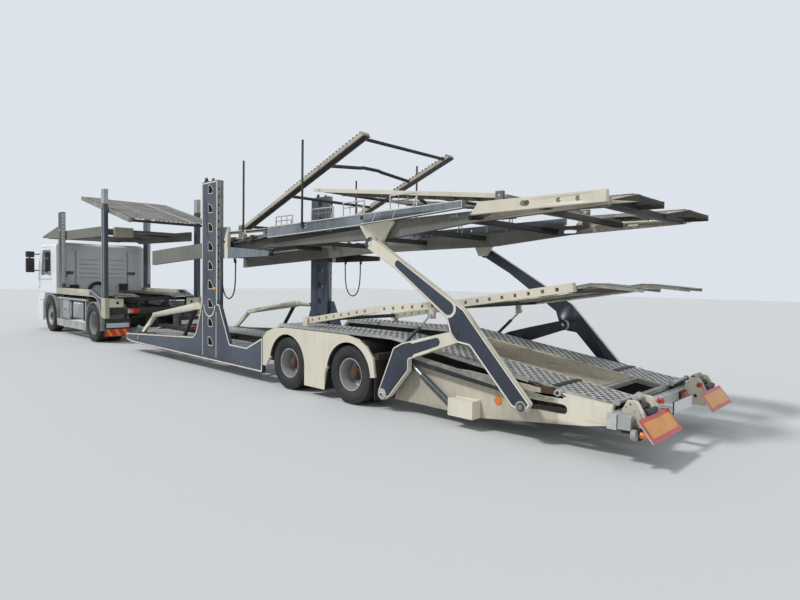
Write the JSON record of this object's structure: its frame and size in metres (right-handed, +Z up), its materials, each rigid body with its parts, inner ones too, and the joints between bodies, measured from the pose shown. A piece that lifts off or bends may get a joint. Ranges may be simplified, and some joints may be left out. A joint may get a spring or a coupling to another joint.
{
  "type": "articulated car transporter truck",
  "caption": "Articulated car transporter: two-axle truck with loading decks, low-hinged to a two-axle trailer with lower, middle and lifting upper decks.",
  "frame": {"origin": "on the ground, half way between the front bumper and the tail boards, on the centre line", "axes": "+X forwards, +Y to the left, +Z up"},
  "size_m": [18.4, 3.1, 3.7],
  "materials": {
    "navy_paint": "worn gloss paint",
    "cream_paint": "weathered semi-gloss paint",
    "galvanised": "galvanised, dusty",
    "white_cab_paint": "gloss paint",
    "chassis_black": "satin paint, road dust",
    "cast_iron": "rough",
    "tyre": "rubber",
    "rim_silver": "silver enamel",
    "black_plastic": "moulded",
    "grey_plastic": "moulded",
    "lamp_lens": "clear polycarbonate",
    "glass": "tinted safety glass",
    "seat_cloth": "woven cloth and moulded dash",
    "tank_alloy": "brushed sheet",
    "ram_grey": "gloss paint",
    "ram_chrome": "polished",
    "hose_rubber": "rubber hose"
  },
  "bodies": {
    "truck": {"truck_frame": "chassis_black", "truck_axles": "cast_iron", "engine_block": "cast_iron", "cab_shell": "white_cab_paint", "cab_interior": "seat_cloth", "windscreen": "glass", "front_bumper": "white_cab_paint", "head_lamps": "lamp_lens", "mirrors": "black_plastic", "truck_guards": "grey_plastic", "side_tanks": "tank_alloy", "truck_side_frames": "cream_paint", "truck_lower_tracks": "galvanised"},
    "cab_deck": {"cab_deck_frame": "cream_paint", "cab_deck_tracks": "galvanised"},
    "truck_ramp": {"truck_ramp": "galvanised"},
    "trailer": {"trailer_side_frames": "navy_paint", "trailer_chassis": "chassis_black", "trailer_axles": "cast_iron", "trailer_lower_tracks": "galvanised", "trailer_mudguards": "cream_paint", "rear_side_beams": "cream_paint", "trailer_tail": "galvanised", "front_loading_arms": "cream_paint", "hose_left": "hose_rubber", "hose_right": "hose_rubber"},
    "upper_deck": {"upper_deck_frame": "cream_paint", "upper_deck_tracks": "galvanised", "upper_deck_rails": "cream_paint"},
    "tilt_platform": {"tilt_tracks": "galvanised"},
    "flap_platform": {"flap_tracks": "cream_paint"},
    "middle_deck": {"middle_deck": "cream_paint"},
    "lift_links": {"lift_links": "navy_paint"},
    "lift_arms": {"lift_arms": "navy_paint"},
    "ram_barrels": {"ram_barrels": "ram_grey"},
    "ram_rods": {"ram_rods": "ram_chrome"},
    "middle_ram_barrels": {"middle_ram_barrels": "ram_grey"},
    "middle_ram_rods": {"middle_ram_rods": "ram_chrome"},
    "knuckle_left": {"knuckle_left": "cast_iron"},
    "steer_wheel_left": {"steer_tyre_left": "tyre", "steer_rim_left": "rim_silver"},
    "drive_wheel_left": {"drive_tyres_left": "tyre", "drive_rims_left": "rim_silver"},
    "axle3_wheel_left": {"axle3_tyres_left": "tyre", "axle3_rims_left": "rim_silver"},
    "axle4_wheel_left": {"axle4_tyres_left": "tyre", "axle4_rims_left": "rim_silver"},
    "door_left": {"door_left": "white_cab_paint", "door_glass_left": "glass"},
    "knuckle_right": {"knuckle_right": "cast_iron"},
    "steer_wheel_right": {"steer_tyre_right": "tyre", "steer_rim_right": "rim_silver"},
    "drive_wheel_right": {"drive_tyres_right": "tyre", "drive_rims_right": "rim_silver"},
    "axle3_wheel_right": {"axle3_tyres_right": "tyre", "axle3_rims_right": "rim_silver"},
    "axle4_wheel_right": {"axle4_tyres_right": "tyre", "axle4_rims_right": "rim_silver"},
    "door_right": {"door_right": "white_cab_paint", "door_glass_right": "glass"}
  },
  "joints": [
    {"name": "trailer_yaw", "type": "hinge", "parent": "truck", "child": "trailer", "pos_m": [3.6, 0, 0.43], "axis": [0, 0, 1], "range_deg": [-50, 50]},
    {"name": "steer_left", "type": "hinge", "parent": "truck", "child": "knuckle_left", "pos_m": [7.8, 0.85, 0.463], "axis": [0, 0, 1], "range_deg": [-35, 35]},
    {"name": "steer_wheel_left_spin", "type": "hinge", "parent": "knuckle_left", "child": "steer_wheel_left", "pos_m": [7.8, 1.0775, 0.463], "axis": [0, 1, 0], "continuous": true},
    {"name": "drive_wheel_left_spin", "type": "hinge", "parent": "truck", "child": "drive_wheel_left", "pos_m": [4.25, 1, 0.463], "axis": [0, 1, 0], "continuous": true},
    {"name": "axle3_wheel_left_spin", "type": "hinge", "parent": "trailer", "child": "axle3_wheel_left", "pos_m": [-3.94, 1, 0.392], "axis": [0, 1, 0], "continuous": true},
    {"name": "axle4_wheel_left_spin", "type": "hinge", "parent": "trailer", "child": "axle4_wheel_left", "pos_m": [-5.3, 1, 0.392], "axis": [0, 1, 0], "continuous": true},
    {"name": "door_left_swing", "type": "hinge", "parent": "truck", "child": "door_left", "pos_m": [8.864, 1.229, 1.5], "axis": [0, 0, -1], "range_deg": [0, 70]},
    {"name": "steer_right", "type": "hinge", "parent": "truck", "child": "knuckle_right", "pos_m": [7.8, -0.85, 0.463], "axis": [0, 0, 1], "range_deg": [-35, 35]},
    {"name": "steer_wheel_right_spin", "type": "hinge", "parent": "knuckle_right", "child": "steer_wheel_right", "pos_m": [7.8, -1.0775, 0.463], "axis": [0, 1, 0], "continuous": true},
    {"name": "drive_wheel_right_spin", "type": "hinge", "parent": "truck", "child": "drive_wheel_right", "pos_m": [4.25, -1, 0.463], "axis": [0, 1, 0], "continuous": true},
    {"name": "axle3_wheel_right_spin", "type": "hinge", "parent": "trailer", "child": "axle3_wheel_right", "pos_m": [-3.94, -1, 0.392], "axis": [0, 1, 0], "continuous": true},
    {"name": "axle4_wheel_right_spin", "type": "hinge", "parent": "trailer", "child": "axle4_wheel_right", "pos_m": [-5.3, -1, 0.392], "axis": [0, 1, 0], "continuous": true},
    {"name": "door_right_swing", "type": "hinge", "parent": "truck", "child": "door_right", "pos_m": [8.864, -1.229, 1.5], "axis": [0, 0, 1], "range_deg": [0, 70]},
    {"name": "cab_deck_lift", "type": "slide", "parent": "truck", "child": "cab_deck", "axis": [0, 0, 1], "range_m": [0, 0.25]},
    {"name": "ramp_tilt", "type": "hinge", "parent": "truck", "child": "truck_ramp", "pos_m": [3.63, 0, 3.22], "axis": [0, 1, 0], "range_deg": [-6, 8]},
    {"name": "upper_deck_tilt", "type": "hinge", "parent": "trailer", "child": "upper_deck", "pos_m": [-2.02, 0, 2.25], "axis": [0, -1, 0], "range_deg": [0, 8]},
    {"name": "tilt_platform_tilt", "type": "hinge", "parent": "upper_deck", "child": "tilt_platform", "pos_m": [-2.25, 0, 2.495], "axis": [0, -1, 0], "range_deg": [-3, 5]},
    {"name": "flap_platform_tilt", "type": "hinge", "parent": "upper_deck", "child": "flap_platform", "pos_m": [-7.45, 0, 2.575], "axis": [0, 1, 0], "range_deg": [0, 6]},
    {"name": "middle_deck_tilt", "type": "hinge", "parent": "trailer", "child": "middle_deck", "pos_m": [-4, 0, 1.035], "axis": [0, -1, 0], "range_deg": [0, 6.56]},
    {"name": "lift_link_turn", "type": "hinge", "parent": "trailer", "child": "lift_links", "pos_m": [-5.88, 0, 0.22], "axis": [0, -1, 0], "range_deg": [0, 9.01]},
    {"name": "lift_arm_turn", "type": "hinge", "parent": "lift_links", "child": "lift_arms", "pos_m": [-7.08, 0, 1.05], "axis": [0, 1, 0], "range_deg": [0, 21.09]},
    {"name": "ram_turn", "type": "hinge", "parent": "trailer", "child": "ram_barrels", "pos_m": [-6.94, 0, 0.2], "axis": [0, 1, 0], "range_deg": [0, 1.64]},
    {"name": "ram_stroke", "type": "slide", "parent": "ram_barrels", "child": "ram_rods", "axis": [-0.8414, 0, -0.5404], "range_m": [0, 0.0857]},
    {"name": "middle_ram_turn", "type": "hinge", "parent": "trailer", "child": "middle_ram_barrels", "pos_m": [-6.1, 0, 0.87], "axis": [0, -1, 0], "range_deg": [0, 32.62]},
    {"name": "middle_ram_stroke", "type": "slide", "parent": "middle_ram_barrels", "child": "middle_ram_rods", "axis": [0.7307, 0, -0.6827], "range_m": [0, 0.12814]}
  ],
  "couplings": [
    {"joint": "steer_right", "follows": "steer_left", "ratio": 1},
    {"joint": "middle_deck_tilt", "follows": "upper_deck_tilt", "ratio": 0.81818},
    {"joint": "lift_link_turn", "follows": "upper_deck_tilt", "ratio": 1.125},
    {"joint": "lift_arm_turn", "follows": "upper_deck_tilt", "ratio": 2.635},
    {"joint": "ram_turn", "follows": "upper_deck_tilt", "ratio": 0.20347},
    {"joint": "ram_stroke", "follows": "upper_deck_tilt", "m_per_rad": 0.61307},
    {"joint": "middle_ram_turn", "follows": "upper_deck_tilt", "ratio": 4.0759},
    {"joint": "middle_ram_stroke", "follows": "upper_deck_tilt", "m_per_rad": 0.91699}
  ]
}
